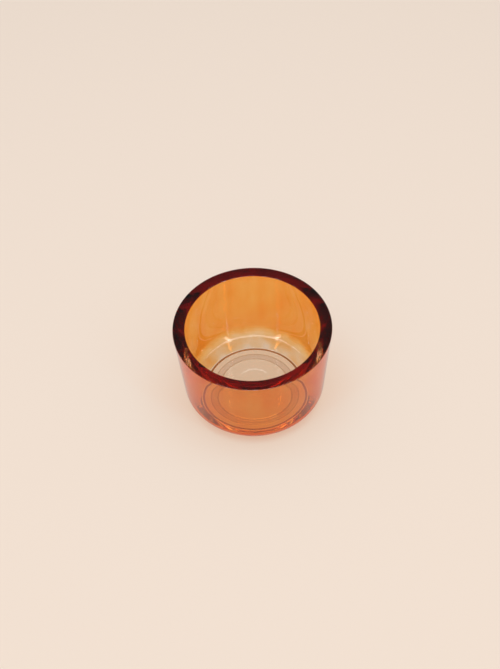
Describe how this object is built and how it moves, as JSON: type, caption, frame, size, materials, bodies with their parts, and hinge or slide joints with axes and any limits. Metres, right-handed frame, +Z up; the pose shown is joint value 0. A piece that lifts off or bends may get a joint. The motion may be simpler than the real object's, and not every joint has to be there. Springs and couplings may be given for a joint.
{
  "type": "candle jar",
  "caption": "Small open candle jar of thick pressed glass with a flat dark rim, a tapering wall, a heavy clear base and an amber lustre coat outside.",
  "frame": {"origin": "centre of the base, on the table plane", "axes": "+Z up along the jar's axis, out of its mouth; the jar is round, so +X and +Y have no landmark"},
  "size_m": [0.0802, 0.0802, 0.051],
  "materials": {
    "glass": "clear pressed soda-lime glass, fire-polished",
    "amber_coat": "transparent amber lustre, glossy with a faint pink-violet sheen"
  },
  "bodies": {
    "root": {"glass_jar": "glass", "amber_coat": "amber_coat"}
  },
  "joints": []
}
